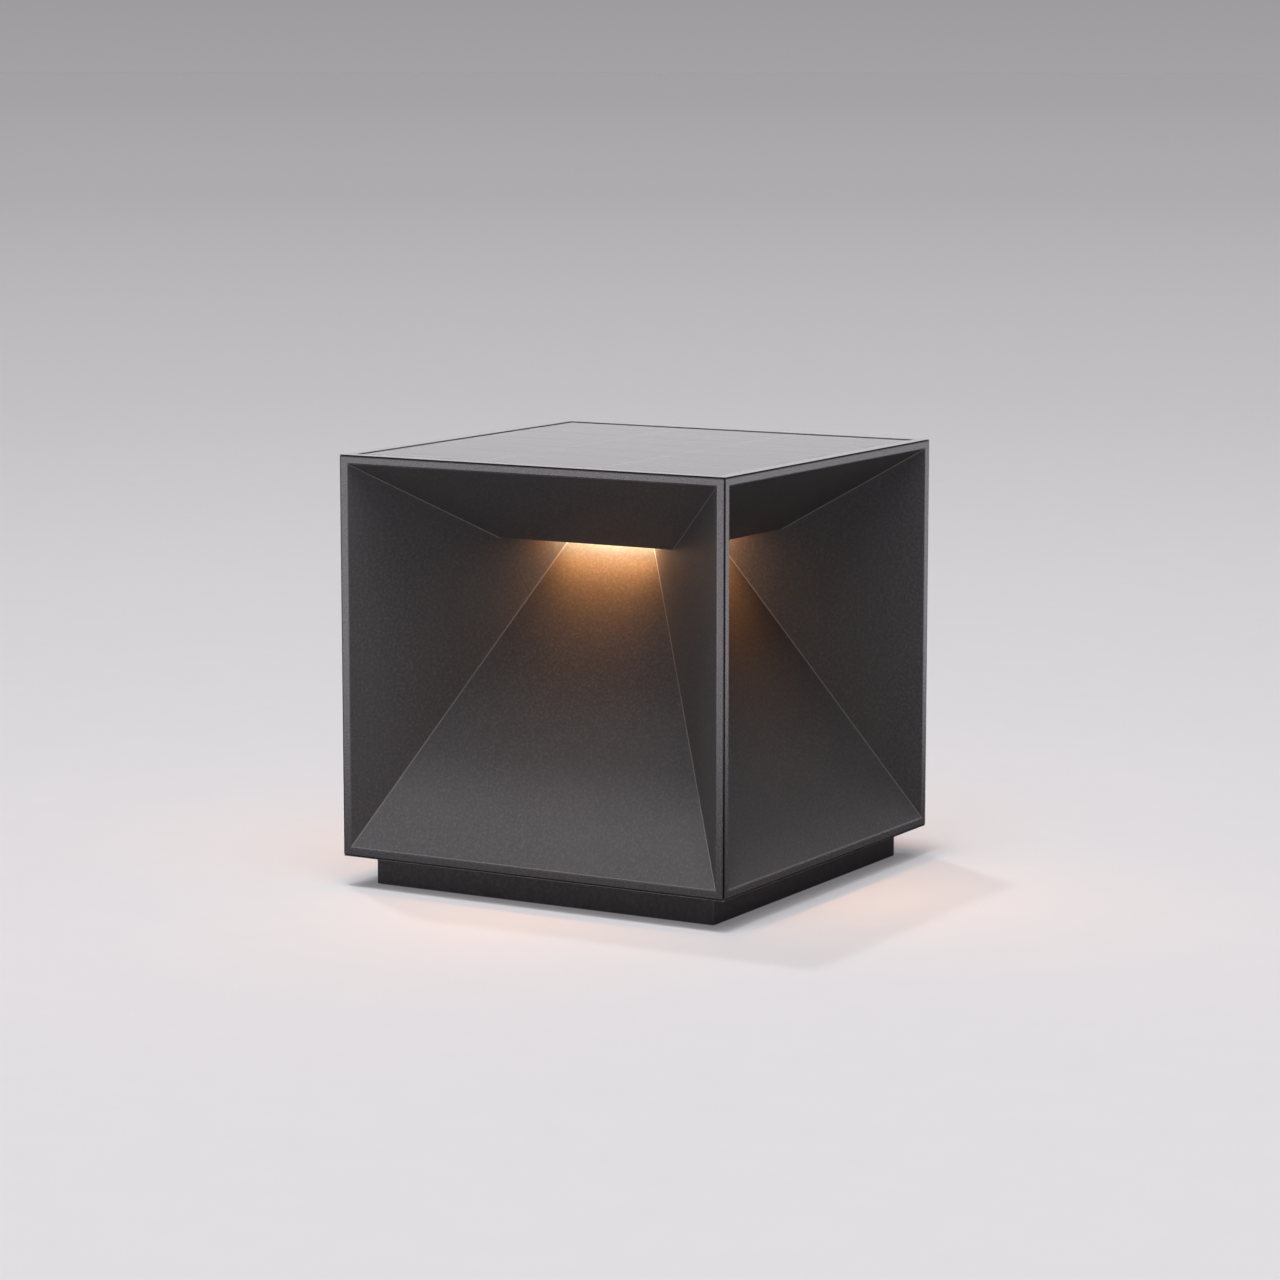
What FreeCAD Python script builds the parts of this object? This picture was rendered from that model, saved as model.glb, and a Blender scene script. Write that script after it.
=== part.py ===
import FreeCAD, Part
import math
import os
import re
import Sketcher

# Cube-shaped outdoor LED light, in millimetres.  It stands on z = 0, its axis is Z and the recess
# that faces -Y is the front.  Four mitred castings carry the same recess on every side: a hood
# slopes inward from the top rim, a pyramid facet climbs from the bottom rim to a narrow neck, and
# upright fins run along the diagonals.  A ring of LEDs in the hood shines down on the pyramid.

SIZES = [
    # overall
    ("cube_width", 200.0),
    ("cube_height", 200.0),
    ("plinth_height", 14.4),
    ("plinth_inset", 11.2),
    ("foot_proud", 0.4),
    ("rim_width", 4.0),
    ("mitre_gap", 0.4),
    ("bevel_gap", 0.6),
    ("frame_thickness", 3.0),
    ("joint_gap", 0.3),
    ("pin_play", 0.075),
    ("slip_fit", 0.05),
    ("overrun", 1.0),
    # recess
    ("hood_height", 160.0),
    ("hood_depth", 50.0),
    ("facet_rise", 1.9),
    ("neck_half", 26.5),
    ("edge_bevel", 0.4),
    # casting
    ("facet_wall", 2.7),
    ("hood_wall", 4.5),
    ("window_lip", 1.6),
    ("window_half", 46.0),
    ("core_half", 20.0),
    ("neck_bore", 22.5),
    ("collar_height", 4.0),
    ("rib_thickness", 2.0),
    ("rib_depth", 5.0),
    ("rib_offset", 30.0),
    ("boss_radius", 4.0),
    ("boss_offset", 58.0),
    ("boss_reach", 84.0),
    ("boss_top", 46.0),
    ("pilot_radius", 1.3),
    ("pilot_depth", 16.0),
    ("tray_boss_radius", 3.5),
    ("tray_boss_reach", 57.0),
    # top panel
    ("frame_opening", 94.4),
    ("ledge_opening", 91.0),
    ("glass_drop", 0.3),
    ("glass_thickness", 2.7),
    ("cell_thickness", 0.3),
    ("backing_thickness", 1.2),
    ("seal_thickness", 0.6),
    ("cell_length", 59.0),
    ("cell_width", 28.5),
    ("cell_gap", 1.5),
    # light tray
    ("tray_height", 176.0),
    ("tray_half", 64.0),
    ("tray_thickness", 2.0),
    ("tray_opening", 17.0),
    ("board_thickness", 1.6),
    ("led_board_half", 46.5),
    ("led_board_opening", 24.0),
    ("chip_length", 3.5),
    ("chip_width", 2.8),
    ("chip_height", 0.8),
    ("chip_pitch", 11.0),
    ("chip_reach", 36.0),
    ("diffuser_thickness", 2.0),
    ("sleeve_wall", 1.5),
    # bottom frame and plinth
    ("bottom_opening", 78.0),
    ("plinth_wall", 3.0),
    ("skirt_wall", 1.8),
    ("flange_opening", 76.0),
    ("flange_thickness", 2.0),
    ("plinth_screw_reach", 82.0),
    ("cover_thickness", 2.0),
    ("cover_recess", 0.4),
    ("gasket_thickness", 0.8),
    ("gasket_width", 2.0),
    ("cover_screw_reach", 79.0),
    ("cover_boss_half", 4.0),
    ("foot_reach", 66.0),
    ("foot_radius", 7.0),
    ("screw_radius", 1.25),
    ("screw_head_radius", 2.6),
    ("screw_head_height", 1.7),
    ("screw_clearance", 1.6),
    ("panel_screw", 13.0),
    ("plinth_screw", 4.6),
    ("cover_screw", 7.0),
    ("circuit_screw", 3.6),
    ("tray_screw", 9.0),
    # electronics
    ("cell_radius", 9.2),
    ("cell_body", 65.0),
    ("cell_spacing", 20.0),
    ("cell_terminal", 1.0),
    ("holder_wall", 1.8),
    ("holder_height", 12.0),
    ("holder_end", 3.0),
    ("circuit_half", 30.0),
    ("circuit_front", 42.0),
    ("circuit_back", 80.5),
    ("circuit_height", 5.0),
    ("standoff_radius", 2.8),
    ("circuit_screw_x", 26.0),
    ("circuit_screw_front", 46.0),
    ("circuit_screw_back", 72.0),
    ("loom_radius", 1.7),
    ("loom_start", 38.0),
    ("loom_bend", 60.0),
    ("loom_straight", 120.0),
    ("plug_half", 3.5),
    ("plug_height", 4.0),
    ("socket_height", 7.0),
    ("socket_run", 6.0),
    # button and charging port in the back of the plinth
    ("control_height", 8.2),
    ("button_x", 18.0),
    ("button_radius", 3.0),
    ("button_proud", 1.7),
    ("button_flange", 3.7),
    ("button_flange_thickness", 1.0),
    ("button_stem", 1.2),
    ("button_travel", 1.2),
    ("bezel_radius", 4.2),
    ("bezel_rim", 5.3),
    ("bezel_proud", 0.9),
    ("bezel_length", 4.2),
    ("switch_width", 6.0),
    ("switch_depth", 4.5),
    ("switch_plunger_length", 0.6),
    ("port_x", 18.0),
    ("port_width", 9.0),
    ("port_height", 3.2),
    ("port_depth", 7.5),
    ("port_wall", 0.35),
    ("port_side_wall", 0.9),
    ("port_back_wall", 1.0),
    ("port_corner", 1.55),
    ("port_window_half", 5.6),
    ("port_window_rise", 2.7),
    ("flap_half", 7.6),
    ("flap_rise", 4.2),
    ("flap_thickness", 1.3),
    ("flap_recess", 1.1),
    ("flap_plug_half", 4.6),
    ("flap_plug_rise", 1.9),
    ("flap_plug_depth", 0.9),
    ("hinge_radius", 1.1),
    ("hinge_pin_radius", 0.5),
    ("hinge_lug", 1.1),
]

CELL_ROWS = 6
CHIPS_PER_SIDE = 6
ROUND_SIDES = 12
SMALL_ROUND_SIDES = 8
TOUCHING = 0.01

# Sizes that follow from the driving ones, written as formulas over their names.
HALF = "(cube_width / 2)"
INNER = "(cube_width / 2 - rim_width)"
RECESS_LOW = "(plinth_height + rim_width)"
RECESS_TOP = "(cube_height - rim_width)"
HOOD_EDGE = "(cube_width / 2 - hood_depth)"
FACET_AT_HOOD = "(plinth_height + rim_width + facet_rise * hood_depth)"
FACET_AT_NECK = "(plinth_height + rim_width + facet_rise * (cube_width / 2 - neck_half))"
COLLAR_LOW = "(hood_height - collar_height)"
WINDOW_TOP = "(hood_height + window_lip)"
BEVEL_DEPTH = "(frame_thickness + joint_gap)"
FRAME_TOP = "(plinth_height + frame_thickness)"
CAVITY_LOW = "(plinth_height + frame_thickness + joint_gap)"
GLASS_TOP = "(cube_height - glass_drop)"
GLASS_LOW = "(cube_height - glass_drop - glass_thickness)"
CELLS_LOW = "(cube_height - glass_drop - glass_thickness - cell_thickness)"
BACKING_LOW = CELLS_LOW[:-1] + " - backing_thickness)"
LEDGE = BACKING_LOW[:-1] + " - seal_thickness)"
PANE_HALF = "(frame_opening - joint_gap)"
PLINTH_HALF = "(cube_width / 2 - plinth_inset)"
PLINTH_INSIDE = "(cube_width / 2 - plinth_inset - plinth_wall)"
SKIRT_INSIDE = "(cube_width / 2 - plinth_inset - skirt_wall)"
COVER_LOW = "(foot_proud + cover_recess)"
COVER_TOP = "(foot_proud + cover_recess + cover_thickness)"
GASKET_TOP = "(foot_proud + cover_recess + cover_thickness + gasket_thickness)"
COVER_HALF = "(cube_width / 2 - plinth_inset - skirt_wall - joint_gap)"
FLANGE_LOW = "(plinth_height - flange_thickness)"
CIRCUIT_TOP = "(circuit_height + board_thickness)"
BEZEL_END = "(cube_width / 2 - plinth_inset - bezel_length)"
FLANGE_FACE = "(cube_width / 2 - plinth_inset - bezel_length - joint_gap)"
STEM_END = FLANGE_FACE[:-1] + " - button_flange_thickness - button_stem)"
HINGE_X = "(port_x + flap_half + hinge_radius)"
HINGE_Y = "(cube_width / 2 - plinth_inset + joint_gap)"

doc = FreeCAD.newDocument("led_cube_light")
sheet = doc.addObject("Spreadsheet::Sheet", "Sizes")
for row, (alias, value) in enumerate(SIZES, start=1):
    sheet.set(f"A{row}", str(value))
    sheet.setAlias(f"A{row}", alias)
doc.recompute()

sub_parts = []


def formula(text):
    """Turn a formula over size names into a FreeCAD expression."""
    return re.sub(r"[a-z_]{3,}", lambda found: "Sizes." + found.group(0), text)


def bind(item, prop, text):
    """Drive a property of a document object by a formula."""
    item.setExpression(prop, formula(text))


def sub_part(item, label, turn=0.0):
    """Name a finished sub-part, place it and keep it for export."""
    item.Label = label
    item.Placement = FreeCAD.Placement(
        FreeCAD.Vector(0, 0, 0), FreeCAD.Rotation(FreeCAD.Vector(0, 0, 1), turn)
    )
    sub_parts.append(item)
    return item


# ---------------------------------------------------------------- solids with bound sizes


def block(name, x, y, z):
    """Box between two formulas along each axis."""
    item = doc.addObject("Part::Box", name)
    for side, corner, (low, high) in zip(("Length", "Width", "Height"), "xyz", (x, y, z)):
        bind(item, side, f"({high}) - ({low})")
        bind(item, f"Placement.Base.{corner}", low)
    return item


def square_block(name, half, z):
    """Box centred on the axis."""
    return block(name, (f"-{half}", half), (f"-{half}", half), z)


def recess_wedge(name, y, x, low, high):
    """Solid whose width and height change along Y, symmetric in X."""
    item = doc.addObject("Part::Wedge", name)
    limits = {
        "Ymin": f"-{y[0]}",
        "Ymax": f"-{y[1]}",
        "Xmin": f"-{x[0]}",
        "Xmax": x[0],
        "X2min": f"-{x[1]}",
        "X2max": x[1],
        "Zmin": low[0],
        "Z2min": low[1],
        "Zmax": high[0],
        "Z2max": high[1],
    }
    for prop, text in limits.items():
        bind(item, prop, text)
    return item


def taper(name, z, half):
    """Square frustum about the axis, from half[0] at z[0] to half[1] at z[1]."""
    item = recess_wedge(name, ("0", "0"), half, (f"-{half[0]}", f"-{half[1]}"), half)
    bind(item, "Ymin", z[0])
    bind(item, "Ymax", z[1])
    item.Placement.Rotation = FreeCAD.Rotation(FreeCAD.Vector(1, 0, 0), 90)
    return item


def rod(name, x, y, z, radius):
    """Upright cylinder between two heights."""
    item = doc.addObject("Part::Cylinder", name)
    bind(item, "Radius", radius)
    bind(item, "Height", f"({z[1]}) - ({z[0]})")
    bind(item, "Placement.Base.x", x)
    bind(item, "Placement.Base.y", y)
    bind(item, "Placement.Base.z", z[0])
    return item


def post(name, x, y, z, radius, sides=SMALL_ROUND_SIDES):
    """Upright regular prism, for round details that stay out of sight."""
    item = doc.addObject("Part::Prism", name)
    item.Polygon = sides
    bind(item, "Circumradius", radius)
    bind(item, "Height", f"({z[1]}) - ({z[0]})")
    bind(item, "Placement.Base.x", x)
    bind(item, "Placement.Base.y", y)
    bind(item, "Placement.Base.z", z[0])
    return item


def level_rod(name, x, y, z, radius):
    """Cylinder along Y between two formulas."""
    item = doc.addObject("Part::Cylinder", name)
    bind(item, "Radius", radius)
    bind(item, "Height", f"({y[1]}) - ({y[0]})")
    item.Placement.Rotation = FreeCAD.Rotation(FreeCAD.Vector(1, 0, 0), -90)
    bind(item, "Placement.Base.x", x)
    bind(item, "Placement.Base.y", y[0])
    bind(item, "Placement.Base.z", z)
    return item


def fuse(name, items):
    item = doc.addObject("Part::MultiFuse", name)
    item.Shapes = items
    return item


def group(name, items):
    item = doc.addObject("Part::Compound", name)
    item.Links = items
    return item


def cut(name, base, tools):
    item = doc.addObject("Part::Cut", name)
    item.Base = base
    item.Tool = tools[0] if len(tools) == 1 else fuse(name + "_tools", tools)
    return item


def square_ring(name, outer, inner, z):
    return cut(
        name, square_block(name + "_outside", outer, z), [square_block(name + "_inside", inner, z)]
    )


def signed_pairs():
    return [(a, b) for a in ("", "-") for b in ("", "-")]


# ---------------------------------------------------------------- bodies with sketches


def new_body(name):
    return doc.addObject("PartDesign::Body", name)


def origin_item(body, role):
    return [item for item in body.Origin.OriginFeatures if item.Role == role][0]


def new_sketch(body, name, role="XY_Plane", offset="0"):
    """Sketch on one of the body's own origin planes, moved along its normal."""
    sketch = body.newObject("Sketcher::SketchObject", name)
    sketch.AttachmentSupport = [(origin_item(body, role), "")]
    sketch.MapMode = "FlatFace"
    bind(sketch, "AttachmentOffset.Base.z", offset)
    return sketch


def hold(sketch, kind, curve, point, text):
    """Dimension a point of a curve from the sketch origin."""
    sketch.addConstraint(Sketcher.Constraint(kind, -1, 1, curve, point, 1.0))
    bind(sketch, f"Constraints[{sketch.ConstraintCount - 1}]", text)


def draw_polygon(sketch, points):
    """Closed outline through (x, y) pairs of formulas."""
    count = len(points)
    first = sketch.GeometryCount
    for number in range(count):
        angle = 2 * math.pi * number / count
        after = 2 * math.pi * (number + 1) / count
        start = FreeCAD.Vector(math.cos(angle), math.sin(angle), 0)
        end = FreeCAD.Vector(math.cos(after), math.sin(after), 0)
        sketch.addGeometry(Part.LineSegment(start, end), False)
    for number in range(count):
        following = first + (number + 1) % count
        sketch.addConstraint(Sketcher.Constraint("Coincident", first + number, 2, following, 1))
    for number, (x, y) in enumerate(points):
        hold(sketch, "DistanceX", first + number, 1, x)
        hold(sketch, "DistanceY", first + number, 1, y)


def draw_rectangle(sketch, x, y):
    draw_polygon(sketch, [(x[0], y[0]), (x[1], y[0]), (x[1], y[1]), (x[0], y[1])])


def draw_circle(sketch, x, y, radius):
    curve = sketch.GeometryCount
    sketch.addGeometry(
        Part.Circle(FreeCAD.Vector(1, 1, 0), FreeCAD.Vector(0, 0, 1), 1.0), False
    )
    hold(sketch, "DistanceX", curve, 3, x)
    hold(sketch, "DistanceY", curve, 3, y)
    sketch.addConstraint(Sketcher.Constraint("Radius", curve, 1.0))
    bind(sketch, f"Constraints[{sketch.ConstraintCount - 1}]", radius)


def pad(body, sketch, length):
    item = body.newObject("PartDesign::Pad", sketch.Name + "_pad")
    item.Profile = sketch
    bind(item, "Length", length)
    return item


def pocket(body, sketch, length, upward=True):
    """Cut away from the sketch, upward along its normal unless told otherwise."""
    item = body.newObject("PartDesign::Pocket", sketch.Name + "_pocket")
    item.Profile = sketch
    bind(item, "Length", length)
    item.Reversed = upward
    return item


def four_ways(body, feature):
    """Repeat a feature at 90 degree steps round the body's Z axis."""
    item = body.newObject("PartDesign::PolarPattern", feature.Name + "_round")
    item.Originals = [feature]
    item.Axis = (origin_item(body, "Z_Axis"), [""])
    item.Angle = 360
    item.Occurrences = 4
    body.Tip = item
    return item


def revolve_body(label, points, x, z):
    """Turned piece whose axis lies along Y: points are (distance from axis, y) formulas."""
    body = new_body(label)
    sketch = new_sketch(body, label + "_profile")
    draw_polygon(sketch, points)
    turned = body.newObject("PartDesign::Revolution", label + "_turned")
    turned.Profile = sketch
    turned.ReferenceAxis = (sketch, ["V_Axis"])
    turned.Angle = 360
    sub_part(body, label)
    bind(body, "Placement.Base.x", x)
    bind(body, "Placement.Base.z", z)
    return body


# ---------------------------------------------------------------- castings


def pick_edges(shape, wanted):
    """Numbers of the edges whose two ends both satisfy a test."""
    numbers = []
    for number, edge in enumerate(shape.Edges, start=1):
        ends = [vertex.Point for vertex in edge.Vertexes]
        if len(ends) == 2 and wanted(ends[0], ends[1]):
            numbers.append(number)
    return numbers


def side_panel(label, turn):
    """Quarter of the cube: rim, two half fins, hood facet and pyramid facet, hollow behind."""
    quarter = recess_wedge(
        label + "_quarter",
        (HALF, "core_half"),
        (f"({HALF} - mitre_gap)", "(core_half - mitre_gap)"),
        ("plinth_height", "plinth_height"),
        ("cube_height", "cube_height"),
    )
    facet_cavity = (
        f"({HALF} - facet_wall - (frame_thickness + joint_gap - rim_width) / facet_rise)",
        f"({HALF} - facet_wall - ({COLLAR_LOW} - {RECESS_LOW}) / facet_rise)",
    )
    hood_run = f"({HALF} - {HOOD_EDGE}) / ({RECESS_TOP} - hood_height)"
    hollows = [
        taper(label + "_pyramid_hollow", (CAVITY_LOW, COLLAR_LOW), facet_cavity),
        taper(
            label + "_hood_hollow",
            (WINDOW_TOP, LEDGE),
            (f"({HOOD_EDGE} - hood_wall + window_lip * {hood_run})", "ledge_opening"),
        ),
        square_block(label + "_neck_bore", "neck_bore", (COLLAR_LOW, WINDOW_TOP)),
        square_block(label + "_pane_seat", "frame_opening", (LEDGE, "cube_height")),
        taper(
            label + "_top_bevel",
            (f"(cube_height - {BEVEL_DEPTH})", "cube_height"),
            (f"({HALF} - {BEVEL_DEPTH} + bevel_gap)", f"({HALF} + bevel_gap)"),
        ),
        taper(
            label + "_bottom_bevel",
            ("plinth_height", CAVITY_LOW),
            (f"({HALF} + bevel_gap)", f"({HALF} - {BEVEL_DEPTH} + bevel_gap)"),
        ),
    ]
    shell = cut(label + "_shell", quarter, hollows)

    behind_ribs = taper(
        label + "_behind_ribs",
        (CAVITY_LOW, COLLAR_LOW),
        (f"({facet_cavity[0]} - rib_depth)", f"({facet_cavity[1]} - rib_depth)"),
    )
    slabs = []
    added = []
    pilots = []
    for side, sign in (("left", "-"), ("right", "")):
        rib_x = f"{sign}rib_offset"
        slabs.append(
            block(
                f"{label}_rib_{side}",
                (f"({rib_x} - rib_thickness / 2)", f"({rib_x} + rib_thickness / 2)"),
                (f"-({HALF} - rim_width)", "-(rib_offset + rib_thickness / 2 + mitre_gap)"),
                (FRAME_TOP, COLLAR_LOW),
            )
        )
        boss_x = f"{sign}boss_offset"
        added.append(
            post(
                f"{label}_boss_{side}",
                boss_x,
                "-boss_reach",
                (FRAME_TOP, "boss_top"),
                "boss_radius",
                ROUND_SIDES,
            )
        )
        pilots.append(
            post(
                f"{label}_pilot_{side}",
                boss_x,
                "-boss_reach",
                (FRAME_TOP, f"{FRAME_TOP} + pilot_depth"),
                "pilot_radius",
            )
        )
    tray_boss = (WINDOW_TOP, "tray_height")
    tray_pilot = ("tray_height - pilot_depth / 2", "tray_height")
    added.append(
        post(
            label + "_tray_boss",
            "0",
            "-tray_boss_reach",
            tray_boss,
            "tray_boss_radius",
            ROUND_SIDES,
        )
    )
    pilots.append(post(label + "_tray_pilot", "0", "-tray_boss_reach", tray_pilot, "pilot_radius"))
    added.append(cut(label + "_ribs", fuse(label + "_slabs", slabs), [behind_ribs]))
    solid = fuse(label + "_solid", [shell] + added)

    recess = [
        recess_wedge(
            label + "_recess",
            (HALF, HOOD_EDGE),
            (INNER, f"({INNER} - hood_depth)"),
            (RECESS_LOW, FACET_AT_HOOD),
            (RECESS_TOP, "hood_height"),
        ),
        recess_wedge(
            label + "_under_hood",
            (HOOD_EDGE, "neck_half"),
            (f"({INNER} - hood_depth)", "(neck_half - rim_width)"),
            (FACET_AT_HOOD, FACET_AT_NECK),
            ("hood_height", "hood_height"),
        ),
        recess_wedge(
            label + "_window",
            ("window_half", "neck_half"),
            ("(window_half - rim_width)", "(neck_half - rim_width)"),
            ("hood_height", "hood_height"),
            (WINDOW_TOP, WINDOW_TOP),
        ),
    ]
    rough = cut(label + "_rough", solid, recess + pilots)
    doc.recompute()

    half = float(sheet.get("cube_width")) / 2
    rim = float(sheet.get("rim_width"))
    lowest = float(sheet.get("plinth_height")) + rim / 2
    highest = float(sheet.get("cube_height")) - rim / 2

    def on_rim(first, second):
        """Edge of the recess that lies in the front face."""
        return all(
            abs(point.y + half) < TOUCHING
            and abs(point.x) < half - rim + TOUCHING
            and lowest < point.z < highest
            for point in (first, second)
        )

    bevelled = doc.addObject("Part::Chamfer", label + "_bevelled")
    bevelled.Base = rough
    bevel = float(sheet.get("edge_bevel"))
    bevelled.Edges = [(number, bevel, bevel) for number in pick_edges(rough.Shape, on_rim)]
    return sub_part(bevelled, label, turn)


def side_panels():
    for label, turn in (("front", 0), ("right", 90), ("back", 180), ("left", 270)):
        side_panel("side_panel_" + label, turn)


def mitred_frame(label, z, half, opening):
    """Square ring whose outer edge is bevelled to meet the castings."""
    return cut(label, taper(label + "_outside", z, half), [square_block(label + "_inside", opening, z)])


def top_frame():
    frame = mitred_frame(
        "top_frame",
        ("(cube_height - frame_thickness)", "cube_height"),
        (f"({HALF} - frame_thickness)", HALF),
        "frame_opening",
    )
    sub_part(frame, "top_frame")


def bottom_frame():
    ring = mitred_frame(
        "bottom_ring",
        ("plinth_height", FRAME_TOP),
        (HALF, f"({HALF} - frame_thickness)"),
        "bottom_opening",
    )
    holes = []
    for number, (x, y) in enumerate(panel_screw_places()):
        holes.append(
            post(f"panel_hole_{number}", x, y, ("plinth_height", FRAME_TOP), "screw_clearance")
        )
        holes.append(
            post(
                f"panel_sink_{number}",
                x,
                y,
                ("plinth_height", "plinth_height + screw_head_height"),
                "screw_head_radius + joint_gap",
                ROUND_SIDES,
            )
        )
    for number, (x, y) in enumerate(plinth_screw_places()):
        holes.append(
            post(f"plinth_pilot_{number}", x, y, ("plinth_height", FRAME_TOP), "pilot_radius")
        )
    sub_part(cut("bottom_frame", ring, holes), "bottom_frame")


# ---------------------------------------------------------------- screws


def screws(label, places, head, length, downward=False):
    """Group of equal screws.  The head fills its two heights and the shank runs on from it."""
    pieces = []
    for number, (x, y) in enumerate(places):
        name = f"{label}_{number}"
        shank = (f"{head[0]} - {length}", head[0]) if downward else (head[1], f"{head[1]} + {length}")
        pieces.append(
            fuse(
                name,
                [
                    post(name + "_head", x, y, head, "screw_head_radius", ROUND_SIDES),
                    post(name + "_shank", x, y, shank, "screw_radius"),
                ],
            )
        )
    sub_part(group(label, pieces), label)


def four_places(reach):
    """Middle of each side."""
    return [(reach, "0"), (f"-{reach}", "0"), ("0", reach), ("0", f"-{reach}")]


def panel_screw_places():
    ends = [(f"{a}boss_offset", f"{b}boss_reach") for a, b in signed_pairs()]
    sides = [(f"{a}boss_reach", f"{b}boss_offset") for a, b in signed_pairs()]
    return ends + sides


def tray_screw_places():
    return four_places("tray_boss_reach")


def plinth_screw_places():
    return four_places("plinth_screw_reach")


def cover_screw_places():
    return [(f"{a}cover_screw_reach", f"{b}cover_screw_reach") for a, b in signed_pairs()]


def circuit_screw_places():
    return [
        ("circuit_screw_x", "circuit_screw_front"),
        ("-circuit_screw_x", "circuit_screw_back"),
    ]


def head_heights(seat, way="+"):
    """Lower and upper height of a head that starts at the seat."""
    far = f"{seat} {way} screw_head_height"
    return (seat, far) if way == "+" else (far, seat)


def fasteners():
    screws("panel_screws", panel_screw_places(), head_heights("plinth_height"), "panel_screw")
    screws("plinth_screws", plinth_screw_places(), head_heights(FLANGE_LOW, "-"), "plinth_screw")
    cover_seat = (COVER_LOW, f"{COVER_LOW} + screw_head_height")
    screws("cover_screws", cover_screw_places(), cover_seat, "cover_screw")
    circuit_seat = head_heights(CIRCUIT_TOP)
    screws("circuit_screws", circuit_screw_places(), circuit_seat, "circuit_screw", downward=True)
    tray_seat = head_heights("(tray_height + tray_thickness)")
    screws("tray_screws", tray_screw_places(), tray_seat, "tray_screw", downward=True)


# ---------------------------------------------------------------- top panel


def top_panel():
    pane = square_block("glass_pane", PANE_HALF, (GLASS_LOW, GLASS_TOP))
    make = doc.addObject("Part::Chamfer", "glass_bevelled")
    make.Base = pane
    doc.recompute()
    top = pane.Shape.BoundBox.ZMax

    def upper(first, second):
        return abs(first.z - top) < TOUCHING and abs(second.z - top) < TOUCHING

    bevel = float(sheet.get("edge_bevel"))
    make.Edges = [(number, bevel, bevel) for number in pick_edges(pane.Shape, upper)]
    sub_part(make, "solar_glass")

    cells = []
    for column in (-1, 0, 1):
        for row in range(CELL_ROWS):
            middle_x = f"({column} * (cell_length + cell_gap))"
            middle_y = f"({row - (CELL_ROWS - 1) / 2} * (cell_width + cell_gap))"
            cells.append(
                block(
                    f"cell_{column + 1}_{row}",
                    (f"({middle_x} - cell_length / 2)", f"({middle_x} + cell_length / 2)"),
                    (f"({middle_y} - cell_width / 2)", f"({middle_y} + cell_width / 2)"),
                    (CELLS_LOW, GLASS_LOW),
                )
            )
    sub_part(group("solar_cells", cells), "solar_cells")
    sub_part(square_block("panel_backing", PANE_HALF, (BACKING_LOW, CELLS_LOW)), "panel_backing")
    seal = square_ring("panel_seal", PANE_HALF, "(ledge_opening + joint_gap)", (LEDGE, BACKING_LOW))
    sub_part(seal, "panel_seal")
    bead = square_ring(
        "frame_gasket",
        f"({HALF} - frame_thickness)",
        "(frame_opening + joint_gap)",
        (f"(cube_height - {BEVEL_DEPTH})", "(cube_height - frame_thickness)"),
    )
    sub_part(bead, "frame_gasket")


# ---------------------------------------------------------------- light tray


def tray_plate():
    body = new_body("tray_plate")
    outline = new_sketch(body, "tray_outline", offset="tray_height")
    draw_rectangle(outline, ("-tray_half", "tray_half"), ("-tray_half", "tray_half"))
    side = ("-tray_opening", "tray_opening")
    draw_rectangle(outline, side, side)
    pad(body, outline, "tray_thickness")
    holes = new_sketch(body, "tray_holes", offset="tray_height")
    draw_circle(holes, "0", "-tray_boss_reach", "screw_clearance")
    four_ways(body, pocket(body, holes, "tray_thickness"))
    sub_part(body, "tray_plate")


def led_ring():
    board_low = "(tray_height - board_thickness)"
    board = square_ring(
        "led_board", "led_board_half", "led_board_opening", (board_low, "tray_height")
    )
    sub_part(board, "led_board")
    chips = []
    chip_z = (f"({board_low} - chip_height)", board_low)
    for number in range(CHIPS_PER_SIDE):
        along = f"({number - (CHIPS_PER_SIDE - 1) / 2} * chip_pitch)"
        run = (f"({along} - chip_length / 2)", f"({along} + chip_length / 2)")
        for sign in ("", "-"):
            reach = f"{sign}chip_reach"
            across = (f"({reach} - chip_width / 2)", f"({reach} + chip_width / 2)")
            tag = f"{number}_{'far' if sign else 'near'}"
            chips.append(block(f"chip_x_{tag}", run, across, chip_z))
            chips.append(block(f"chip_y_{tag}", across, run, chip_z))
    sub_part(group("led_chips", chips), "led_chips")


def diffuser():
    pane = square_ring(
        "diffuser",
        "(window_half + window_lip - joint_gap)",
        "(neck_bore + rim_width / 2)",
        (WINDOW_TOP, f"({WINDOW_TOP} + diffuser_thickness)"),
    )
    sub_part(pane, "diffuser")


def neck_sleeve():
    outer = "(neck_bore - joint_gap)"
    sleeve = square_ring(
        "neck_sleeve", outer, f"({outer} - sleeve_wall)", (COLLAR_LOW, "tray_height")
    )
    sub_part(sleeve, "neck_sleeve")


# ---------------------------------------------------------------- plinth


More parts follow.
